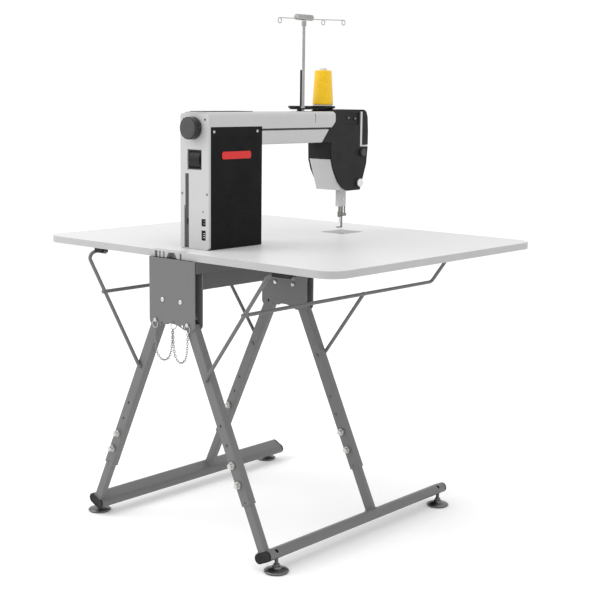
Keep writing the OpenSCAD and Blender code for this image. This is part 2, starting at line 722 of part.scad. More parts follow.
// Side cover outline as (y, z), cut back where the front cover sits
module side_cover_outline() difference() {
    polygon(head_outline);
    translate([-301, 1046]) square([38, 120]);
}

module head_side_cover() difference() {
    union() {
        wall_yz(40, head_hw - 40) side_cover_outline();
        block([0.15, -136, 1012.2], [40.5, -130.2, 1061]);
        wall_yz(0.15, 40.2) polygon([[-262.7, 1150.3], [-262.7, 1155], [-150, 1155], [-142, 1150.3]]);
        wall_yz(43.2, head_hw - 43.2) polygon([
            [-142.1, 1062.3], [-81.8, 1062.3], [-113.4, 1099.8], [-124.6, 1104.5], [-141.6, 1121],
            [-142.1, 1121]]);
    }
    // Shallow recess with the thread guides
    block([head_hw - 2.5, -254, 1111], [head_hw + 1, -194, 1146]);
}

module head_left_cover() home() color("black") on_side(-1) difference() {
    head_side_cover();
    x_cyl(-273, 1029, 30, 60, 4 + fit);
    x_cyl(-257, 940, 30, 60, 4 + fit);
}

module head_right_cover() home() color("black") on_side(1) head_side_cover();

// Front cover, wrapped round both front corners, with the slot of the take-up lever
module head_front_cover() home() color("black") difference() {
    union() {
        for (side = [-1, 1]) on_side(side) wall_yz(40.1, head_hw - 40.1) polygon([
            [-272.6, 1051.4], [-300, 1051.4], [-300, 1093], [-297, 1134], [-290, 1150],
            [-280, 1155], [-272.6, 1155]]);
        wall_yz(-40.2, 80.4) polygon([
            [-295.4, 1051.4], [-300, 1051.4], [-300, 1093], [-297, 1134], [-290, 1150],
            [-280, 1155], [-263, 1155], [-263, 1150.3], [-284, 1150.3], [-292.4, 1134],
            [-295.4, 1093]]);
    }
    block([-4.5, -310, 1064], [4.5, -270, 1147]);
}

module belly_cover() home() color("whitesmoke") wall_yz(-39.5, 79) polygon([
    [-130.5, 1012], [-164, 921], [-206, 918.5], [-206, 921.6], [-169.7, 939.7], [-135.9, 1012]]);

// ---------- needle bar and foot ----------
module needle_bar() home() color("silver") translate([0, needle_y, 0]) {
    translate([0, 0, 850]) cylinder(h = 150, r = 4, $fn = 48);
    translate([0, 0, 836]) cylinder(h = 15, r = 6, $fn = 48);
    x_cyl(0, 843, -11, 0, 2.5, 24);
    translate([0, 0, needle_tip + 6]) cylinder(h = 16, r = 0.9, $fn = 24);
    translate([0, 0, needle_tip]) cylinder(h = 6, r1 = 0.15, r2 = 0.9, $fn = 24);
}

module presser_foot() home() color("silver") {
    translate([0, -238, 845]) cylinder(h = 140, r = 3.2, $fn = 48);
    translate([0, -250, 845]) cylinder(h = 75, r = 2.5, $fn = 48);
    block([-5, -253, 838], [5, -234.5, 846]);
    block([-3, -237, 806], [3, -234.8, 840]);
    translate([0, needle_y, 804]) difference() {
        cylinder(h = 2.2, r = 9.5, $fn = 48);
        translate([0, 0, -1]) cylinder(h = 5, r = 5.5, $fn = 48);
    }
}

module take_up_lever() home() color("silver") difference() {
    union() {
        x_cyl(-262, 1090, -3, 3, 7);
        wall_yz(-1.5, 3) polygon([[-262, 1084], [-262, 1096], [-314, 1125], [-320, 1123], [-320, 1116]]);
        x_cyl(-317, 1120, -1.5, 1.5, 5.5, 32);
    }
    x_cyl(-262, 1090, -10, 10, 3 + fit);
    x_cyl(-317, 1120, -10, 10, 1.8, 24);
}

module tension_dial() home() color("black") translate([-head_hw, -273, 1029]) rotate([0, -90, 0]) {
    translate([0, 0, -3]) cylinder(h = 4, r = 4, $fn = 48);
    translate([0, 0, 0.5]) cylinder(h = 8, r1 = 11.5, r2 = 10.5, $fn = 48);
}

module thumb_screw() home() color("silver") translate([-head_hw, -257, 940]) rotate([0, -90, 0]) {
    translate([0, 0, -3]) cylinder(h = 4, r = 4, $fn = 48);
    translate([0, 0, 0.5]) cylinder(h = 9, r = 12.5, $fn = 48);
}

// ---------- thread stand ----------
stand_z = arm_top + 5.3;

module thread_stand_base() home() color("black") difference() {
    union() {
        translate([12, -105, stand_z]) linear_extrude(3) rounded_rect(58, 150, 20);
        for (y = [-125, -55]) translate([12, y, arm_top]) cylinder(h = 6, r = 9, $fn = 48);
        for (p = spool_pins) translate([p[0], p[1], stand_z])
            rotate_extrude($fn = 64) polygon([
                [0, 0], [22, 0], [disc_r - 2, 3.2], [disc_r, 4.7], [disc_r, 8.4],
                [disc_r - 1.3, 9.7], [0, 9.7]]);
        for (p = spool_pins) translate([p[0], p[1], arm_top + 14])
            cylinder(h = p == spool_pins[0] ? 103 : 96, r = 2.9, $fn = 32);
    }
    translate([mast_at[0], mast_at[1], arm_top - 5]) cylinder(h = 20, r = 4 + fit, $fn = 48);
}

module thread_mast() home() color("gray") translate([mast_at[0], mast_at[1], 0]) {
    translate([0, 0, arm_top - 4.5]) cylinder(h = mast_top - arm_top + 18, r = 4, $fn = 48);
    translate([0, 0, stand_z + 3.4]) cylinder(h = 5, r = 6.5, $fn = 48);
}

guide_z = 1407;

module thread_guide() home() color("dimgray") translate([mast_at[0], mast_at[1], 0]) {
    difference() {
        union() {
            translate([0, 0, mast_top]) cylinder(h = 14, r = 6.8, $fn = 48);
            translate([0, 0, 1412]) rotate([0, 90, 90]) translate([0, 0, -33])
                cylinder(h = 66, r = 8.5, $fn = 48);
        }
        translate([0, 0, mast_top - 5]) cylinder(h = 19.5, r = 4 + fit, $fn = 48);
    }
    bent_rod([[0, 32, guide_z + 1], [0, 105, guide_z - 1]], 1.2, 16);
    bent_rod([[0, -32, guide_z + 1], [0, -180, guide_z + 6]], 1.2, 16);
    for (y = [[102, -8], [-84, -5], [-176, -1]]) translate([0, y[0], guide_z + y[1]])
        rotate([0, 90, 0]) rotate_extrude($fn = 32) translate([7, 0]) circle(r = 1.2, $fn = 16);
}

module spool_cone() home() translate([spool_pins[1][0], spool_pins[1][1], arm_top + 15.4])
    difference() {
        union() {
            color("gold") translate([0, 0, 3]) cylinder(h = cone_h, r1 = 31, r2 = 25.2, $fn = 96);
            color("white") cylinder(h = 3.1, r = 30, $fn = 96);
            color("white") translate([0, 0, cone_h]) cylinder(h = 9, r = 10.5, $fn = 64);
        }
        translate([0, 0, -1]) cylinder(h = 200, r = 5, $fn = 48);
    }

tabletop();
edge_band();
cable_comb();
rear_bracket();
middle_bracket();
side_rails();
machine_trough();
pivot_bolts();
brace_clips();
left_upper_legs();
right_upper_legs();
left_height_bolts();
right_height_bolts();
left_lower_legs();
right_lower_legs();
left_floor_bar();
right_floor_bar();
left_bar_caps();
right_bar_caps();
rear_left_foot();
front_left_foot();
rear_right_foot();
front_right_foot();
left_brace();
right_brace();
left_lock_pin();
right_lock_pin();
pin_chains();
machine_bed();
needle_plate();
column_frame();
rear_panel();
left_side_panel();
right_side_panel();
panel_screws();
power_switch();
rear_sockets();
handwheel();
upper_shaft();
hook_shaft();
rotary_hook();
drive_belt();
drive_motor();
arm_frame();
arm_upper_cover();
arm_lower_cover();
head_frame();
head_left_cover();
head_right_cover();
head_front_cover();
belly_cover();
needle_bar();
presser_foot();
take_up_lever();
tension_dial();
thumb_screw();
thread_stand_base();
thread_mast();
thread_guide();
spool_cone();
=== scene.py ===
"""The looks of the sewing table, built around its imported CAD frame."""
import json
import math

import bmesh
import bpy
from mathutils import Matrix, Vector


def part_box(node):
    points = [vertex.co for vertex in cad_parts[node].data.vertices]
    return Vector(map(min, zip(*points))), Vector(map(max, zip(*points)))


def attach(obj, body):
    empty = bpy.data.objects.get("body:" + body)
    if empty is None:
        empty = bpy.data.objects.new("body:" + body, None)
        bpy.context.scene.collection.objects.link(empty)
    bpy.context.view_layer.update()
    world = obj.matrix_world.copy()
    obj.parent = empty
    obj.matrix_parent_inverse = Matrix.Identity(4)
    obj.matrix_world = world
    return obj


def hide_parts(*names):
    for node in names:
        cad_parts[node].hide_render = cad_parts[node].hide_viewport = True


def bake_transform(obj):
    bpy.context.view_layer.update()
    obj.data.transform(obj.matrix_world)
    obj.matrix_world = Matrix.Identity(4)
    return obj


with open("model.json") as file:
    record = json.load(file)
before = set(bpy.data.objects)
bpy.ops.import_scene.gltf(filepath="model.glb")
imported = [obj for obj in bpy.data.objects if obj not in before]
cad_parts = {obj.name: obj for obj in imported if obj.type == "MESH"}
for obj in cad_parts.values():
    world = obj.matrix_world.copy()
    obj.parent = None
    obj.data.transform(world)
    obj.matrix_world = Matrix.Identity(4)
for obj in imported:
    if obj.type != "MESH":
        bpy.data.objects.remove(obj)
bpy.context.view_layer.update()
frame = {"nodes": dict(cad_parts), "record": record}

RECORD = frame["record"]
SLOT_OF = {part["node"]: part["material_slot"] for part in RECORD["subparts"]}
BODY_OF = {node: body for body, nodes in RECORD["behaviour"]["bodies"].items() for node in nodes}
BAND_LOW, BAND_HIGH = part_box("edge_band")
MIDDLE_Y = (BAND_LOW.y + BAND_HIGH.y) / 2     # the middle of the board
MM = 0.001


def at(x, y, z):
    """A point given in millimetres from the middle of the board and the floor, in metres."""
    return Vector((x * MM, y * MM + MIDDLE_Y, z * MM))


# ---------------------------------------------------------------- materials
class Shader:
    """A node tree with one Principled shader and the few links every surface here needs."""

    def __init__(self, name, roughness, metallic=0.0, specular=0.5, sheen=0.0):
        self.material = bpy.data.materials.new(name)
        self.material.use_nodes = True
        self.nodes = self.material.node_tree.nodes
        self.links = self.material.node_tree.links
        self.nodes.clear()
        output = self.nodes.new("ShaderNodeOutputMaterial")
        self.bsdf = self.nodes.new("ShaderNodeBsdfPrincipled")
        self.links.new(self.bsdf.outputs[0], output.inputs[0])
        for socket, value in (("Roughness", roughness), ("Metallic", metallic),
                              ("Specular IOR Level", specular), ("Sheen Weight", sheen)):
            self.bsdf.inputs[socket].default_value = value
        self.position = self.nodes.new("ShaderNodeTexCoord").outputs["Object"]
        self.height = None

    def stretched(self, scale):
        """The surface position, stretched by a factor along each axis."""
        mapping = self.nodes.new("ShaderNodeMapping")
        mapping.inputs["Scale"].default_value = scale
        self.links.new(self.position, mapping.inputs["Vector"])
        return mapping.outputs[0]

    def noise(self, scale, detail=3.0, stretch=(1, 1, 1), roughness=0.55):
        """Cloudy noise from 0 to 1."""
        node = self.nodes.new("ShaderNodeTexNoise")
        node.inputs["Scale"].default_value = scale
        node.inputs["Detail"].default_value = detail
        node.inputs["Roughness"].default_value = roughness
        place = self.position if stretch == (1, 1, 1) else self.stretched(stretch)
        self.links.new(place, node.inputs["Vector"])
        return node.outputs["Fac"]

    def flakes(self, scale):
        """One grey level for each cell of a crystal pattern."""
        cells = self.nodes.new("ShaderNodeTexVoronoi")
        cells.inputs["Scale"].default_value = scale
        self.links.new(self.stretched((1, 1, 1)), cells.inputs["Vector"])
        grey = self.nodes.new("ShaderNodeRGBToBW")
        self.links.new(cells.outputs["Color"], grey.inputs[0])
        return grey.outputs[0]

    def ramp(self, value, low, high, start=0.0, end=1.0):
        """value, taken from low..high to start..end."""
        node = self.nodes.new("ShaderNodeMapRange")
        self.links.new(value, node.inputs["Value"])
        for socket, number in (("From Min", low), ("From Max", high), ("To Min", start), ("To Max", end)):
            node.inputs[socket].default_value = number
        return node.outputs["Result"]

    def product(self, a, b):
        """a times b."""
        node = self.nodes.new("ShaderNodeMath")
        node.operation = "MULTIPLY"
        self.links.new(a, node.inputs[0])
        self.links.new(b, node.inputs[1])
        return node.outputs[0]

    def mix(self, factor, a, b):
        """A colour between a and b; each is a colour or another node's output."""
        node = self.nodes.new("ShaderNodeMix")
        node.data_type = "RGBA"
        self.links.new(factor, node.inputs["Factor"])
        for socket, value in ((node.inputs[6], a), (node.inputs[7], b)):
            if isinstance(value, bpy.types.NodeSocket):
                self.links.new(value, socket)
            else:
                socket.default_value = (*value, 1)
        return node.outputs[2]

    def edges(self, radius=0.0012):
        """High along edges, where a rounded normal leaves the surface's own."""
        soft = self.nodes.new("ShaderNodeBevel")
        soft.samples = 3
        soft.inputs["Radius"].default_value = radius
        dot = self.nodes.new("ShaderNodeVectorMath")
        dot.operation = "DOT_PRODUCT"
        self.links.new(soft.outputs[0], dot.inputs[0])
        self.links.new(self.nodes.new("ShaderNodeNewGeometry").outputs["Normal"], dot.inputs[1])
        return self.ramp(dot.outputs["Value"], 0.995, 0.93)

    def bump(self, height, strength, distance):
        """Adds relief on top of any relief added before; distance is in metres."""
        node = self.nodes.new("ShaderNodeBump")
        node.inputs["Strength"].default_value = strength
        node.inputs["Distance"].default_value = distance
        self.links.new(height, node.inputs["Height"])
        if self.height is not None:
            self.links.new(self.height, node.inputs["Normal"])
        self.height = node.outputs[0]
        self.links.new(self.height, self.bsdf.inputs["Normal"])

    def base(self, colour):
        """Sets the base colour."""
        self.links.new(colour, self.bsdf.inputs["Base Color"])

    def rough(self, value):
        """Sets the roughness."""
        self.links.new(value, self.bsdf.inputs["Roughness"])


def shade(colour, factor):
    """The colour made lighter or darker."""
    return tuple(min(1.0, c * factor) for c in colour)


def paint(name, colour, roughness, grain=420, depth=0.25, vary=0.03, chip=(0.42, 0.42, 0.42)):
    """Powder coat or enamel: orange peel, slight clouding, and rubbed edges."""
    s = Shader(name, roughness)
    cloud = s.ramp(s.noise(9, 5), 0.3, 0.7)
    body = s.mix(cloud, shade(colour, 1 - vary), shade(colour, 1 + vary))
    worn = s.product(s.edges(), s.ramp(s.noise(160, 4), 0.5, 0.62))
    s.base(s.mix(s.ramp(worn, 0, 1, 0, 0.45), body, chip))
    s.rough(s.ramp(s.noise(12, 4), 0.3, 0.7, roughness - 0.03, roughness + 0.04))
    s.bump(s.noise(grain, 2), depth, 0.00012)
    s.bump(s.noise(grain * 4, 1), depth * 0.4, 0.00005)
    return s.material


def plastic(name, colour, roughness, grain=1500, depth=0.3, vary=0.08, specular=0.4):
    """Moulded plastic: a fine leathery grain, and every edge painted lighter as a highlight."""
    s = Shader(name, roughness, specular=specular)
    cloud = s.ramp(s.noise(14, 4), 0.32, 0.68)
    body = s.mix(cloud, shade(colour, 1 - vary), shade(colour, 1 + vary))
    # Every edge is mixed towards twice the colour: a painted highlight along the edges.
    s.base(s.mix(s.ramp(s.edges(), 0, 1, 0, 0.35), body, shade(colour, 2.0)))
    s.rough(s.ramp(s.noise(22, 5), 0.35, 0.65, roughness - 0.07, roughness + 0.08))
    s.bump(s.noise(grain, 3, roughness=0.7), depth, 0.00006)
    return s.material


def metal(name, colour, roughness, stretch=(1, 1, 1), spangle=0.0, vary=0.12):
    """Bare or plated metal: turning or brushing marks along one axis, and dulled patches."""
    s = Shader(name, roughness, metallic=1.0)
    patch = s.ramp(s.noise(60, 5), 0.3, 0.7)
    body = s.mix(patch, shade(colour, 1 - vary), shade(colour, 1 + vary))
    if spangle:
        body = s.mix(s.ramp(s.flakes(260), 0, 1, 0, spangle), body, shade(colour, 0.6))
    s.base(body)
    lines = s.noise(700, 4, stretch)
    s.rough(s.ramp(lines, 0.3, 0.7, roughness - 0.08, roughness + 0.12))
    s.bump(lines, 0.25, 0.00003)
    return s.material


def laminate(name):
    """White melamine: faint print of fine fibres, low orange peel, soft gloss."""
    s = Shader(name, 0.4, specular=0.22)
    fibre = s.ramp(s.noise(120, 6, (1, 0.25, 1)), 0.35, 0.65)
    body = s.mix(fibre, (0.655, 0.655, 0.655), (0.665, 0.665, 0.665))
    s.base(s.mix(s.ramp(s.noise(3, 3), 0.35, 0.7, 0, 0.5), body, (0.65, 0.65, 0.655)))
    s.rough(s.ramp(s.noise(4, 2), 0.3, 0.7, 0.37, 0.42))
    s.bump(s.noise(900, 2), 0.1, 0.00004)
    return s.material


def thread(name):
    """Wound polyester: crossing strands with a sheen, and painted shade in the low grooves between them."""
    s = Shader(name, 0.5, specular=0.3, sheen=0.35)
    strands_and_groove_shade = s.noise(1600, 2, (0.4, 0.4, 3.2))
    cloud = s.ramp(s.noise(45, 4, (1, 1, 2)), 0.3, 0.7)
    light = s.mix(cloud, (0.90, 0.54, 0.0), (0.98, 0.66, 0.0))
    # Where the strand relief is low the colour turns to the darker orange: painted shade in the grooves.
    s.base(s.mix(s.ramp(strands_and_groove_shade, 0.4, 0.62), (0.74, 0.42, 0.0), light))
    s.bump(strands_and_groove_shade, 0.6, 0.00012)
    return s.material


def rubber(name):
    """Matt black rubber with a fine grain and a little dust."""
    s = Shader(name, 0.75, specular=0.3)
    s.base(s.mix(s.ramp(s.noise(80, 5), 0.35, 0.65), (0.014, 0.014, 0.014), (0.03, 0.03, 0.03)))
    s.rough(s.ramp(s.noise(30, 3), 0.3, 0.7, 0.65, 0.85))
    s.bump(s.noise(1200, 4), 0.5, 0.0001)
    return s.material


MATERIALS = {
    "white_laminate": laminate("white_laminate"),
    # The band's grey, darker than the board's white, is painted shade on the board's edge.
    "edge_band": plastic("edge_band", (0.43, 0.43, 0.435), 0.38, grain=700, depth=0.15, vary=0.03),
    "frame_paint": paint("frame_paint", (0.135, 0.135, 0.135), 0.45, depth=0.12, vary=0.025),
    "beam_paint": paint("beam_paint", (0.07, 0.07, 0.073), 0.48, depth=0.12, vary=0.025),
    "rod_paint": paint("rod_paint", (0.12, 0.12, 0.12), 0.4, depth=0.12, vary=0.025),
    "zinc": metal("zinc", (0.62, 0.62, 0.60), 0.34, spangle=0.5),
    "black_plastic": plastic("black_plastic", (0.012, 0.012, 0.012), 0.45, specular=0.2),
    "foot_metal": metal("foot_metal", (0.16, 0.16, 0.16), 0.32, (0.3, 0.3, 3)),
    "machine_paint": paint("machine_paint", (0.49, 0.49, 0.49), 0.4, grain=600, depth=0.12, vary=0.02,
                           chip=(0.56, 0.56, 0.56)),
    "head_white": paint("head_white", (0.55, 0.55, 0.55), 0.4, grain=600, depth=0.12, vary=0.02,
                        chip=(0.62, 0.62, 0.62)),
    "dark_cast": paint("dark_cast", (0.045, 0.045, 0.045), 0.55, grain=300, depth=0.6),
    "panel_black": plastic("panel_black", (0.006, 0.006, 0.0065), 0.5, grain=1300, depth=0.35,
                           specular=0.12),
    "head_black": plastic("head_black", (0.0105, 0.0105, 0.011), 0.45, grain=1100, depth=0.25,
                          specular=0.2),
    "wheel_grey": plastic("wheel_grey", (0.06, 0.06, 0.06), 0.45, grain=1200, depth=0.3, specular=0.3),
    "polished_steel": metal("polished_steel", (0.74, 0.74, 0.73), 0.2, (4, 0.3, 0.3)),
    "needle_steel": metal("needle_steel", (0.24, 0.235, 0.22), 0.28, (0.3, 0.3, 3)),
    "chain_steel": metal("chain_steel", (0.26, 0.26, 0.25), 0.35),
    "slot_liner": plastic("slot_liner", (0.06, 0.06, 0.062), 0.5, grain=900, depth=0.2),
    "belt_rubber": rubber("belt_rubber"),
    "stand_black": plastic("stand_black", (0.014, 0.014, 0.014), 0.42, specular=0.2),
    "mast_grey": metal("mast_grey", (0.36, 0.35, 0.34), 0.3, (3, 3, 0.2)),
    "yellow_thread": thread("yellow_thread"),
    "rim_black": plastic("rim_black", (0.012, 0.012, 0.012), 0.25, grain=700, depth=0.1, specular=0.45),
    "badge_red": plastic("badge_red", (0.62, 0.012, 0.01), 0.3, grain=900, depth=0.1, vary=0.04),
    "foot_pad": rubber("foot_pad"),
    "core_white": plastic("core_white", (0.6, 0.59, 0.56), 0.45, vary=0.04),
}


# ---------------------------------------------------------------- mesh helpers
def angles(count):
    """Evenly spaced angles round a full turn."""
    return [2 * math.pi * k / count for k in range(count)]


def tube(bm, path, radius, sides=16, closed=False):
    """A round rod along a list of points; radius may be a list with one value per point."""
    count = len(path)
    radii = radius if isinstance(radius, list) else [radius] * count
    tangents = []
    for i, point in enumerate(path):
        before = path[(i - 1) % count] if closed or i > 0 else point
        after = path[(i + 1) % count] if closed or i < count - 1 else point
        tangents.append((after - before).normalized())
    normal = tangents[0].orthogonal().normalized()
    rings = []
    for point, tangent, r in zip(path, tangents, radii):
        normal = (normal - tangent * normal.dot(tangent)).normalized()
        side = tangent.cross(normal)
        rings.append([bm.verts.new(point + (normal * math.cos(t) + side * math.sin(t)) * r)
                      for t in angles(sides)])
    for i in range(count if closed else count - 1):
        a, b = rings[i], rings[(i + 1) % count]
        shift = 0
        if closed and i == count - 1:
            shift = min(range(sides), key=lambda k: (a[0].co - b[k].co).length)
        for k in range(sides):
            bm.faces.new((a[k], a[(k + 1) % sides],
                          b[(k + 1 + shift) % sides], b[(k + shift) % sides]))
    if not closed:
        bm.faces.new(list(reversed(rings[0])))
        bm.faces.new(rings[-1])


def rounded(points, bend, steps=6):
    """The path through points with an arc of about radius bend at each corner."""
    path = [points[0]]
    for before, corner, after in zip(points, points[1:], points[2:]):
        reach = min(bend, (before - corner).length * 0.48, (after - corner).length * 0.48)
        start = corner + (before - corner).normalized() * reach
        end = corner + (after - corner).normalized() * reach
        for k in range(steps + 1):
            t = k / steps
            path.append(start * (1 - t) ** 2 + corner * 2 * t * (1 - t) + end * t ** 2)
    path.append(points[-1])
    return path


def capped(path, radius, dome=0.35):
    """The path and radii of a rod with softly rounded ends."""
    first = (path[1] - path[0]).normalized() * radius * dome
    last = (path[-1] - path[-2]).normalized() * radius * dome
    inner = [path[0] + first] + path[1:-1] + [path[-1] - last]
    points = [path[0], path[0] + first * 0.3] + inner + [path[-1] - last * 0.3, path[-1]]
    radii = [radius * 0.6, radius * 0.86] + [radius] * len(inner) + [radius * 0.86, radius * 0.6]
    return points, radii


def lathe(bm, profile, origin, axis, steps=64, flute=None):
    """A turned solid from (radius, distance along axis); flute(angle, i) scales point i's radius."""
    turn = Vector((0, 0, 1)).rotation_difference(Vector(axis)).to_matrix()
    rings = []
    for i, (radius, along) in enumerate(profile):
        level = []
        for a in angles(steps):
            r = radius * (flute(a, i) if flute else 1)
            spot = Vector((r * math.cos(a), r * math.sin(a), along))
            level.append(bm.verts.new(origin + turn @ spot))
        rings.append(level)
    for a, b in zip(rings, rings[1:]):
        for k in range(steps):
            bm.faces.new((a[k], a[(k + 1) % steps], b[(k + 1) % steps], b[k]))
    bm.faces.new(list(reversed(rings[0])))
    bm.faces.new(rings[-1])


def hexagon(a, i):
    """A flute that makes every ring a hexagon with slightly rounded corners."""
    from_middle = a % (math.pi / 3) - math.pi / 6
    return min(1.0, math.cos(math.pi / 6) * 1.03 / math.cos(from_middle))


def slab(bm, low, high):
    """A block between two corners."""
    corners = [bm.verts.new((x, y, z))
               for x in (low.x, high.x) for y in (low.y, high.y) for z in (low.z, high.z)]
    for face in ((0, 1, 3, 2), (4, 6, 7, 5), (0, 4, 5, 1), (2, 3, 7, 6), (0, 2, 6, 4), (1, 5, 7, 3)):
        bm.faces.new([corners[i] for i in face])


def round_corners(bm, axis, radius, segments):
    """Rounds the edges of a block that run along an axis, given as 0, 1 or 2."""
    along = [e for e in bm.edges if abs((e.verts[0].co - e.verts[1].co)[axis]) > 0.5 * MM]
    bmesh.ops.bevel(bm, geom=along, offset=radius, segments=segments, affect="EDGES", profile=0.5)


def ring(bm, centre, normal, big, wire, stretch=1.0, along=Vector((0, 0, 1)), sides=8, steps=20):
    """A ring or an oval chain link of wire."""
    normal = Vector(normal).normalized()
    u = (along - normal * along.dot(normal)).normalized()
    v = normal.cross(u)
    loop = [centre + u * math.cos(t) * big * stretch + v * math.sin(t) * big for t in angles(steps)]
    tube(bm, loop, wire, sides, closed=True)


def piece(name, bm, slot, body, bevel=0.0, sharp=35, segments=2, replaces=(), material=None):
    """Makes the mesh an object with its material, smooth shading and bevelled edges, on its body."""
    bmesh.ops.recalc_face_normals(bm, faces=bm.faces)
    limit = math.radians(sharp)
    for edge in bm.edges:
        edge.smooth = len(edge.link_faces) == 2 and edge.calc_face_angle(0) < limit
    for face in bm.faces:
        face.smooth = True
    mesh = bpy.data.meshes.new(name)
    bm.to_mesh(mesh)
    bm.free()
    mesh.materials.append(MATERIALS[material or slot])
    obj = bpy.data.objects.new(name, mesh)
    bpy.context.scene.collection.objects.link(obj)
    if bevel:
        modifier = obj.modifiers.new("edges", "BEVEL")
        modifier.width = bevel
        modifier.segments = segments
        modifier.limit_method = "ANGLE"
        modifier.angle_limit = limit
        modifier.harden_normals = True
    if body:
        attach(obj, body)
    if replaces:
        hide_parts(*replaces)
    return obj


KEEPS_TRIANGLES = {"rear_panel"}     # a face with many openings stays as the triangles of the CAD mesh
# These parts take the darker needle_steel in place of their slot; on the needle plate that dark is the
# painted shadow of the head above it.
DARK_STEEL = dict.fromkeys(("needle_bar", "presser_foot", "needle_plate"), "needle_steel")


def finished(node, bevel, segments=2, change=None):
    """The node's own shape with clean faces and rounded edges, in place of the node."""
    bm = bmesh.new()
    bm.from_mesh(frame["nodes"][node].data)
    bmesh.ops.remove_doubles(bm, verts=bm.verts, dist=2e-6)
    if node not in KEEPS_TRIANGLES:
        flat = math.radians(0.4)
        bmesh.ops.dissolve_limit(bm, angle_limit=flat, verts=bm.verts, edges=bm.edges)
    if change:
        change(bm)
    piece(node + "_finish", bm, SLOT_OF[node], BODY_OF[node], bevel, 32, segments, (node,),
          DARK_STEEL.get(node))


# ---------------------------------------------------------------- pieces that keep their CAD shape
EDGE_WIDTHS = {     # width of the rounded edges in millimetres
    "tabletop": 0.15, "edge_band": 0.45, "cable_comb": 0.5, "rear_bracket": 0.6, "middle_bracket": 0.6,
    "side_rails": 0.5, "machine_trough": 0.7, "pivot_bolts": 0.4, "brace_clips": 0.6,
    "left_upper_legs": 0.4, "right_upper_legs": 0.4, "left_height_bolts": 0.5, "right_height_bolts": 0.5,
    "left_lower_legs": 0.4, "right_lower_legs": 0.4, "left_floor_bar": 0.3, "right_floor_bar": 0.3,
    "left_lock_pin": 0.3, "right_lock_pin": 0.3, "machine_bed": 0.8, "needle_plate": 0.4,
    "column_frame": 0.8, "rear_panel": 1.4, "left_side_panel": 0.35, "right_side_panel": 0.35,
    "power_switch": 1.2, "rear_sockets": 0.4, "upper_shaft": 0.4, "hook_shaft": 0.4, "rotary_hook": 0.5,
    "drive_belt": 0.4, "drive_motor": 1.0, "arm_frame": 0.8, "arm_upper_cover": 1.0,
    "arm_lower_cover": 1.0, "head_frame": 0.7, "head_left_cover": 2.0, "head_right_cover": 2.0,
    "head_front_cover": 1.5, "belly_cover": 1.0, "needle_bar": 0.3, "presser_foot": 0.25,
    "take_up_lever": 0.4, "thread_stand_base": 0.7, "thread_mast": 0.4, "thread_guide": 0.5,
}
for node_name, width in EDGE_WIDTHS.items():
    finished(node_name, width * MM, 3 if width >= 1 else 2)

# ---------------------------------------------------------------- braces
LEG_ANGLE = math.radians(25.2)     # from vertical
PIVOT_X, PIVOT_Z = 34, 661
HOOK_REACH = 215.5                 # along the leg, from its pivot to the hooked ends of the brace
HOOK_X = PIVOT_X + HOOK_REACH * math.sin(LEG_ANGLE)
HOOK_Z = PIVOT_Z - HOOK_REACH * math.cos(LEG_ANGLE)
REAR_LEG_Y, MIDDLE_LEG_Y = 445.5, 5
REAR_ARM_Y, MIDDLE_ARM_Y, FRONT_ARM_Y = 462.8, -12.3, -335
CROSS_X, CROSS_Z = 265.8, 656      # the long rod that joins the arms
CLIP_Y, CLIP_Z = 441, 761.5        # the clips under the board
ROD = 5 * MM
BEND = 11 * MM
BEAD_STEPS = 10
rise = (CLIP_Z - 14 - HOOK_Z) / (CROSS_Z - HOOK_Z)
ARM_TOP_X = HOOK_X + (CROSS_X - HOOK_X) * rise

for side, word, end_x in ((-1, "left", 408), (1, "right", 285)):
    def p(x, y, z):
        """A point on this side of the table."""
        return at(side * x, y, z)

    lean = -9 if end_x < ARM_TOP_X else 9
    rear_top = [p(ARM_TOP_X - 3, REAR_ARM_Y, CLIP_Z - 18),
                p(ARM_TOP_X - 2, (REAR_ARM_Y + CLIP_Y) / 2, CLIP_Z - 5),
                p(ARM_TOP_X + lean, CLIP_Y, CLIP_Z), p(end_x, CLIP_Y, CLIP_Z)]
    runs = [
        [p(HOOK_X, REAR_LEG_Y - 16, HOOK_Z), p(HOOK_X, REAR_ARM_Y, HOOK_Z), *rear_top],
        [p(HOOK_X, MIDDLE_LEG_Y + 16, HOOK_Z), p(HOOK_X, MIDDLE_ARM_Y, HOOK_Z),
         p(CROSS_X, MIDDLE_ARM_Y, CROSS_Z)],
        [p(CROSS_X, REAR_ARM_Y, CROSS_Z), p(CROSS_X, FRONT_ARM_Y, CROSS_Z),
         p(ARM_TOP_X - 3, FRONT_ARM_Y, CLIP_Z - 18), p(ARM_TOP_X + lean, FRONT_ARM_Y, CLIP_Z),
         p(end_x, FRONT_ARM_Y, CLIP_Z)],
    ]
    bm = bmesh.new()
    for run in runs:
        path, radii = capped(rounded(run, BEND), ROD)
        tube(bm, path, radii, 20)
    for y in (REAR_ARM_Y, MIDDLE_ARM_Y):   # weld beads where the arms meet the cross rod
        bead = [p(CROSS_X, y + 8 - k * 1.6, CROSS_Z) for k in range(BEAD_STEPS + 1)]
        swell = [ROD * (1 + 0.17 * math.sin(math.pi * k / BEAD_STEPS) + 0.03 * math.cos(k * 5.1))
                 for k in range(BEAD_STEPS + 1)]
        tube(bm, bead, swell, 20)
    piece(f"{word}_brace_rod", bm, "rod_paint", f"{word}_brace", replaces=(f"{word}_brace",))

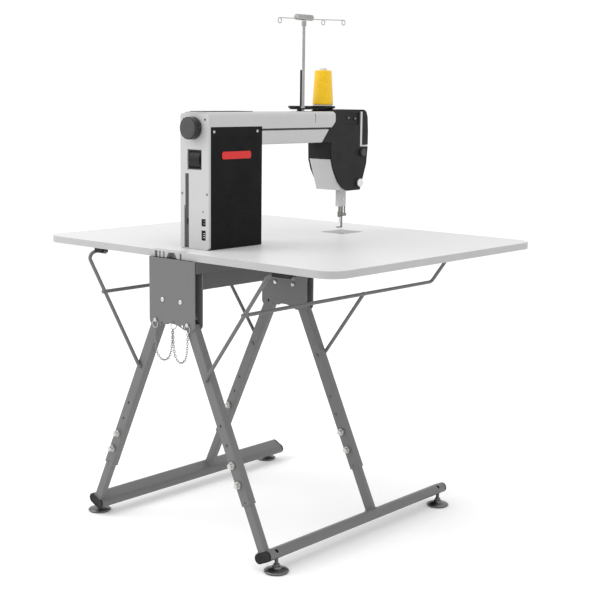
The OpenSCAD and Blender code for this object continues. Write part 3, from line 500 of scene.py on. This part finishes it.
# ---------------------------------------------------------------- welds at the floor bars
WELD_REACH = 686 - 14.6                # along the leg, from its pivot to the top of the floor bar
WELD_HALF_X, WELD_HALF_Y = 13.6, 9.6   # half size of the inner tube's outline
WELD_STEPS = 96
for side, word in ((-1, "left"), (1, "right")):
    bm = bmesh.new()
    down = Vector((side * math.sin(LEG_ANGLE), 0, -math.cos(LEG_ANGLE)))
    across = Vector((math.cos(LEG_ANGLE), 0, side * math.sin(LEG_ANGLE)))
    for leg_y in (REAR_LEG_Y, MIDDLE_LEG_Y):
        foot = at(side * PIVOT_X, leg_y, PIVOT_Z) + down * WELD_REACH * MM
        loop = []
        for t in angles(WELD_STEPS):
            c, s = math.cos(t), math.sin(t)
            reach = 1 / max(abs(c) / WELD_HALF_X, abs(s) / WELD_HALF_Y)
            loop.append(foot + across * (c * reach * MM) + Vector((0, s * reach * MM, 0)))
        ripple = [(1.9 + 0.35 * math.sin(k * 1.9)) * MM for k in range(WELD_STEPS)]
        tube(bm, loop, ripple, 8, closed=True)
    piece(f"{word}_bar_welds", bm, "frame_paint", f"{word}_foot_frame")

# ---------------------------------------------------------------- lock pin chains
LOCK_REACH = 63.5                  # along the leg, from its pivot to the lock pin
LOCK_X = PIVOT_X + LOCK_REACH * math.sin(LEG_ANGLE)
LOCK_Z = PIVOT_Z - LOCK_REACH * math.cos(LEG_ANGLE)
PIN_FACE = REAR_LEG_Y + 15.3       # outer face of the rear bracket
HOLE = (-6, 605)                   # x and z of the hole that the chain ring hangs in
LINK_PITCH = 6.1
CHAIN_STEPS = 400
CHAIN_TOP, CHAIN_SAG = 586, 84
PIN_RING_DROP = 21                 # from the pin's axis down to the first link

bm = bmesh.new()
ring(bm, at(HOLE[0], PIN_FACE - 1.5, HOLE[1] - 9.5), (1, 0, 0), 10 * MM, 0.9 * MM, steps=32)
piece("chain_ring", bm, "zinc", "stand", replaces=("pin_chains",), material="chain_steel")


def hang(side, t):
    """A point on a hanging chain, t from 0 at the ring to 1 at the pin, in millimetres."""
    end_x, end_z = side * LOCK_X, LOCK_Z - PIN_RING_DROP
    x = HOLE[0] + (end_x - HOLE[0]) * (t - 0.13 * math.sin(2 * math.pi * t))
    z = CHAIN_TOP + (end_z - CHAIN_TOP) * t - CHAIN_SAG * math.sin(math.pi * t) ** 0.72
    return Vector((x, PIN_FACE + 2.2 + side * 1.4, z))


for side, word in ((-1, "left"), (1, "right")):
    samples = [hang(side, k / CHAIN_STEPS) for k in range(CHAIN_STEPS + 1)]
    lengths = [0.0]
    for a, b in zip(samples, samples[1:]):
        lengths.append(lengths[-1] + (b - a).length)
    links = round(lengths[-1] / LINK_PITCH)
    bm = bmesh.new()
    for k in range(links):
        target = (k + 0.5) * lengths[-1] / links
        i = max(j for j, length in enumerate(lengths) if length <= target)
        i = min(i, CHAIN_STEPS - 1)
        along = (samples[i + 1] - samples[i]).normalized()
        turn = math.radians(45 if k % 2 else -45)
        across = Vector((0, 1, 0)).cross(along).normalized()
        normal = Vector((0, 1, 0)) * math.cos(turn) + across * math.sin(turn)
        centre = at(*samples[i])
        ring(bm, centre, normal, 2.7 * MM, 0.85 * MM, 1.6, along, 6, 14)
    chain = piece(f"{word}_chain", bm, "zinc", None, material="chain_steel")
    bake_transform(chain)

# ---------------------------------------------------------------- bar caps and feet
def sunk_ends(bm):
    """Sets the middle of each cap's outer face a little deeper than its rim."""
    ys = [v.co.y for v in bm.verts]
    for end in (min(ys), max(ys)):
        faces = [f for f in bm.faces if all(abs(v.co.y - end) < 1e-5 for v in f.verts)]
        if faces:
            bmesh.ops.inset_region(bm, faces=faces, thickness=2.2 * MM, depth=-0.6 * MM)


def levelling_foot(node):
    """A turned foot with a rubber pad, a hexagon and a threaded stud."""
    low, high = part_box(node)
    centre = Vector(((low.x + high.x) / 2, (low.y + high.y) / 2, 0))
    r = (high.x - low.x) / 2
    up = (0, 0, 1)
    bm = bmesh.new()
    lathe(bm, [(r * 0.9, 0), (r * 0.94, 1 * MM), (r * 0.94, 2.6 * MM)], centre, up)
    piece(f"{node}_pad", bm, "foot_metal", node, 0.3 * MM, material="foot_pad")
    bm = bmesh.new()
    lathe(bm, [(r * 0.9, 2.5 * MM), (r * 0.985, 2.6 * MM), (r, 3.4 * MM), (r, 4.9 * MM),
               (r * 0.97, 6.2 * MM), (r * 0.88, 7.8 * MM), (r * 0.7, 9.6 * MM), (r * 0.5, 11.2 * MM),
               (14 * MM, 12.2 * MM), (12 * MM, 14 * MM), (11 * MM, 16 * MM), (5 * MM, 16 * MM)],
          centre, up, 72)
    lathe(bm, [(7.9 * MM, 16 * MM), (8.9 * MM, 16.7 * MM), (8.9 * MM, 21.3 * MM), (7.9 * MM, 22 * MM)],
          centre, up, 60, hexagon)
    stud = [(4.95 * MM, 22 * MM)]
    for turn in range(24):     # thread with a pitch of 0.9 mm
        z = 22 + turn * 0.9
        stud += [(4.95 * MM, (z + 0.4) * MM), (4.45 * MM, (z + 0.85) * MM)]
    lathe(bm, stud + [(4.0 * MM, 44 * MM)], centre, up, 32)
    piece(f"{node}_body", bm, "foot_metal", node, 0.25 * MM, 40, replaces=(node,))


for word in ("left", "right"):
    finished(f"{word}_bar_caps", 1.0 * MM, 3, sunk_ends)
    for end in ("rear", "front"):
        levelling_foot(f"{end}_{word}_foot")

# ---------------------------------------------------------------- handwheel and knobs
low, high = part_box("handwheel")
wheel_centre = Vector(((low.x + high.x) / 2, low.y, (low.z + high.z) / 2))
WHEEL = (high.x - low.x) / 2     # radius of the rim
FLUTES = 28
depth = high.y - low.y


def grip(a, i):
    """Shallow finger flutes round the side of the wheel only."""
    return 1 - (0.022 * (0.5 + 0.5 * math.cos(FLUTES * a)) ** 2 if 3 <= i <= 6 else 0)


bm = bmesh.new()
lathe(bm, [(12 * MM, 0), (12 * MM, 1.1 * MM), (WHEEL * 0.93, 1.15 * MM), (WHEEL * 0.985, 2.2 * MM),
           (WHEEL, 3.6 * MM), (WHEEL, depth - 4.0 * MM), (WHEEL * 0.995, depth - 2.6 * MM),
           (WHEEL * 0.975, depth - 1.2 * MM), (WHEEL * 0.955, depth - 0.2 * MM), (WHEEL * 0.93, depth),
           (WHEEL * 0.91, depth - 0.2 * MM), (WHEEL * 0.9, depth - 1 * MM), (WHEEL * 0.2, depth - 1 * MM)],
      wheel_centre, (0, 1, 0), 168, grip)
piece("handwheel_rim", bm, "wheel_grey", "handwheel", replaces=("handwheel",), sharp=50, material="rim_black")
bm = bmesh.new()
lathe(bm, [(WHEEL * 0.9, depth - 1.1 * MM), (WHEEL * 0.9, depth - 0.4 * MM),
           (WHEEL * 0.885, depth - 0.15 * MM), (WHEEL * 0.6, depth - 0.1 * MM),
           (WHEEL * 0.3, depth - 0.12 * MM), (WHEEL * 0.03, depth - 0.14 * MM)],
      wheel_centre, (0, 1, 0), 96)
piece("handwheel_face", bm, "wheel_grey", "handwheel", sharp=40)


def knob(name, node, teeth, bite, slot):
    """A toothed knob on a short neck, turned towards -X."""
    low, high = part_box(node)
    r = (high.y - low.y) / 2
    origin = Vector((high.x, (low.y + high.y) / 2, (low.z + high.z) / 2))
    tall = high.x - low.x
    shoulder = 3.5 * MM

    def teeth_round(a, i):
        """Teeth on the side of the knob only."""
        return 1 - (bite * (0.5 + 0.5 * math.cos(teeth * a)) if 3 <= i <= 4 else 0)

    bm = bmesh.new()
    lathe(bm, [(3.9 * MM, 0), (3.9 * MM, shoulder), (r * 0.9, shoulder + 0.05 * MM), (r, shoulder + 1 * MM),
               (r * 0.98, tall - 1.2 * MM), (r * 0.9, tall - 0.2 * MM), (r * 0.74, tall),
               (r * 0.66, tall - 0.7 * MM), (r * 0.3, tall - 0.7 * MM), (r * 0.24, tall - 0.2 * MM),
               (r * 0.05, tall - 0.1 * MM)], origin, (-1, 0, 0), teeth * 6, teeth_round)
    piece(name, bm, slot, BODY_OF[node], replaces=(node,), sharp=45)


knob("tension_dial_body", "tension_dial", 20, 0.06, "wheel_grey")
knob("thumb_screw_body", "thumb_screw", 30, 0.045, "polished_steel")

# ---------------------------------------------------------------- screws
def socket_mouth(a, i):
    """A round head with a hexagonal socket, which starts at the fifth ring."""
    return hexagon(a, i) if i >= 4 else 1


SIDE_SCREWS = [(s * 50.2, y, 1099, (s, 0, 0), 4, 2) for s in (-1, 1) for y in (190.5, 355)]
REAR_SCREWS = [(x, 376.6, z, (0, 1, 0), 3.5, 1.4)
               for x, z in ((-46.5, 937), (46.5, 936), (-40, 1131), (40, 1131))]
for index, (x, y, z, axis, r, tall) in enumerate(SIDE_SCREWS + REAR_SCREWS):
    profile = [(r, 0), (r, tall * 0.45), (r * 0.86, tall * 0.85), (r * 0.62, tall), (r * 0.46, tall),
               (r * 0.42, tall - 0.8), (0.05, tall - 0.9)]
    bm = bmesh.new()
    lathe(bm, [(radius * MM, along * MM) for radius, along in profile], at(x, y, z), axis, 48, socket_mouth)
    piece(f"panel_screw_{index}", bm, "zinc", "stand", sharp=40,
          replaces=("panel_screws",) if index == 0 else (), material=None if axis[0] else "needle_steel")

# ---------------------------------------------------------------- machine details
# Plain red bar where the column carries its badge
bm = bmesh.new()
slab(bm, at(-52.0, 216, 1027), at(-50.9, 326, 1047))
round_corners(bm, 0, 6 * MM, 8)
piece("badge_bar", bm, "panel_black", "stand", 0.3 * MM, material="badge_red")

# Dark strip at the bottom of the long groove in the rear panel
bm = bmesh.new()
outline = [(21.8, 792.4), (38.7, 792.4), (38.7, 896), (35, 904.7), (35, 988.7), (21.8, 988.7)]
front, back = [[bm.verts.new(at(x, y, z)) for x, z in outline] for y in (374, 372.05)]
bm.faces.new(front)
bm.faces.new(back)
for k in range(len(outline)):
    bm.faces.new((front[k - 1], front[k], back[k], back[k - 1]))
piece("panel_groove_strip", bm, "panel_black", "stand", 0.4 * MM, material="slot_liner")

# Thin dark mat on top of the column end of the arm
bm = bmesh.new()
slab(bm, at(-34, 188, 1149.9), at(34, 364, 1151.6))
round_corners(bm, 2, 5 * MM, 6)
piece("arm_mat", bm, "stand_black", "stand", 0.5 * MM)

# Dark filler of the short seam in each side of the upper arm cover
for side, word in ((-1, "left"), (1, "right")):
    bm = bmesh.new()
    slab(bm, at(side * 49.2 - 0.9, -52.6, 1119), at(side * 49.2 + 0.9, -50.6, 1143))
    piece(f"arm_seam_{word}", bm, "stand_black", "stand", 0.4 * MM)

# Two wire thread guides with their bosses in the recess on each side of the head
for side, word in ((-1, "left"), (1, "right")):
    bm = bmesh.new()
    for y, z in ((-238, 1129), (-207, 1131)):
        ring(bm, at(side * 44.6, y, z), (0.25, 1, 0.2), 3.6 * MM, 0.9 * MM, sides=10, steps=28)
        lathe(bm, [(3.4 * MM, 0), (3.4 * MM, 1.4 * MM), (2.6 * MM, 2 * MM), (0.4 * MM, 2.2 * MM)],
              at(side * 42.4, y, z), (side, 0, 0), 32)
    # The guides take the dark needle_steel in place of polished steel: painted shade of the recess they sit
    # in.
    piece(f"thread_guides_{word}", bm, "polished_steel", "stand", sharp=40, material="needle_steel")

# Contacts inside the two sockets of the rear panel
bm = bmesh.new()
for z in (859, 866):
    for x in (-36.5, -33.9, -31.3):
        slab(bm, at(x - 0.5, 371, z - 0.9), at(x + 0.5, 375.2, z + 0.9))
for z in (823, 828.5, 834):
    slab(bm, at(-37, 371, z - 0.8), at(-30, 374.8, z + 0.8))
piece("socket_contacts", bm, "polished_steel", "stand", 0.15 * MM)

# Clamp screws on both sides of the needle bar housing
CLAMP_SCREW = [(2.0, 0), (2.9, 0.2), (2.9, 2.2), (2.0, 2.6), (0.3, 2.3)]
bm = bmesh.new()
for side in (-1, 1):
    lathe(bm, [(r * MM, z * MM) for r, z in CLAMP_SCREW], at(side * 7.4, -231, 890), (side, 0, 0), 24)
piece("housing_screws", bm, "polished_steel", "stand", sharp=40)

# ---------------------------------------------------------------- thread cone
low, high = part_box("spool_cone")
cone_centre = Vector(((low.x + high.x) / 2, (low.y + high.y) / 2, low.z))
BASE_R = (high.x - low.x) / 2
tall = high.z - low.z
ROWS = 150
TOP_R = 25.2 * MM                     # of the winding, before its top rounds off
WOUND_FROM, WOUND_TALL = 3, 99        # height of the winding in millimetres
LOWER_ROUND, UPPER_ROUND = 0.045, 0.04


def winding_radius(t):
    """The radius of the winding from its foot, t = 0, to its top, t = 1."""
    low_end = math.sqrt(1 - max(0, (LOWER_ROUND - t) / LOWER_ROUND) ** 2)
    high_end = math.sqrt(max(0, 1 - max(0, (t - 1 + UPPER_ROUND) / UPPER_ROUND) ** 2))
    return (BASE_R - 0.6 * MM - (BASE_R - TOP_R) * t) * (0.9 + 0.1 * min(low_end, high_end))


profile = [(winding_radius(k / ROWS), (WOUND_FROM + WOUND_TALL * k / ROWS) * MM) for k in range(ROWS + 1)]


def wound(a, i):
    """Crossing helical windings, less deep near both ends."""
    t = min(max(i - 1, 0), ROWS) / ROWS
    fade = min(1.0, 12 * t, 12 * (1 - t))
    return 1 + 0.009 * fade * (math.sin(9 * a + 95 * t) + math.sin(9 * a - 95 * t)) * 0.5


bm = bmesh.new()
lathe(bm, [(12 * MM, profile[0][1])] + profile + [(12 * MM, profile[-1][1])], cone_centre, (0, 0, 1), 144,
      wound)
piece("thread_winding", bm, "yellow_thread", "spool_cone", sharp=60)
bm = bmesh.new()
lathe(bm, [(5.05 * MM, 0.2 * MM), (28 * MM, 0), (29.6 * MM, 0.5 * MM), (29.8 * MM, 1.5 * MM),
           (28.5 * MM, 2.9 * MM), (11 * MM, 3.1 * MM), (10.6 * MM, 60 * MM), (10.5 * MM, tall - 1 * MM),
           (9.8 * MM, tall), (7.6 * MM, tall), (7.2 * MM, tall - 1.5 * MM), (5.05 * MM, tall - 6 * MM)],
      cone_centre, (0, 0, 1), 96)
piece("cone_core", bm, "yellow_thread", "spool_cone", material="core_white", replaces=("spool_cone",),
      sharp=40)

# ---------------------------------------------------------------- floor, light and camera
FLOOR_HALF = 60     # metres, so that the floor's edge lies far behind the table
bm = bmesh.new()
slab(bm, Vector((-FLOOR_HALF, -FLOOR_HALF, -0.04)), Vector((FLOOR_HALF, FLOOR_HALF, 0)))
floor_mesh = bpy.data.meshes.new("floor")
bm.to_mesh(floor_mesh)
bm.free()
floor = bpy.data.objects.new("floor", floor_mesh)
bpy.context.scene.collection.objects.link(floor)
floor_shader = Shader("floor", 0.7, specular=0.0)
floor_shader.bsdf.inputs["Emission Color"].default_value = (1, 1, 1, 1)
floor_shader.bsdf.inputs["Emission Strength"].default_value = 0.14
floor_shader.base(floor_shader.mix(floor_shader.noise(2, 2), (0.90, 0.90, 0.90), (0.92, 0.92, 0.92)))
floor_mesh.materials.append(floor_shader.material)

world = bpy.data.worlds.new("studio")
bpy.context.scene.world = world
world.use_nodes = True
world.node_tree.nodes["Background"].inputs[0].default_value = (1, 1, 1, 1)
world.node_tree.nodes["Background"].inputs[1].default_value = 1.0
bpy.context.scene.view_settings.view_transform = "Standard"


def softbox(name, place, target, size, power):
    """A rectangular studio light at place that shines at target."""
    light = bpy.data.lights.new(name, "AREA")
    light.shape = "RECTANGLE"
    light.size, light.size_y = size
    light.energy = power
    obj = bpy.data.objects.new(name, light)
    obj.location = place
    obj.rotation_euler = (Vector(target) - Vector(place)).to_track_quat("-Z", "Y").to_euler()
    bpy.context.scene.collection.objects.link(obj)


softbox("key", (2.2, 2.6, 3.2), (0, 0, 0.8), (2.4, 2.4), 55)
softbox("top", (0, 0, 4.0), (0, 0, 0), (3.5, 3.5), 22)

CAMERA_X, CAMERA_Y, CAMERA_Z = -2.3506, 2.63995, 1.1983
AZIMUTH, ELEVATION, ROLL = (math.radians(a) for a in (221.27, 9.21, 0.64))
forward = Vector((-math.sin(AZIMUTH) * math.cos(ELEVATION), math.cos(AZIMUTH) * math.cos(ELEVATION),
                  -math.sin(ELEVATION)))
right = forward.cross(Vector((0, 0, 1))).normalized()
up = right.cross(forward)
right, up = right * math.cos(ROLL) + up * math.sin(ROLL), up * math.cos(ROLL) - right * math.sin(ROLL)
camera_data = bpy.data.cameras.new("camera")
camera_data.lens = 75.6
camera_data.sensor_width = 36
camera = bpy.data.objects.new("camera", camera_data)
camera.matrix_world = Matrix((
    (right.x, up.x, -forward.x, CAMERA_X), (right.y, up.y, -forward.y, CAMERA_Y),
    (right.z, up.z, -forward.z, CAMERA_Z), (0, 0, 0, 1)))
bpy.context.scene.collection.objects.link(camera)
bpy.context.scene.camera = camera
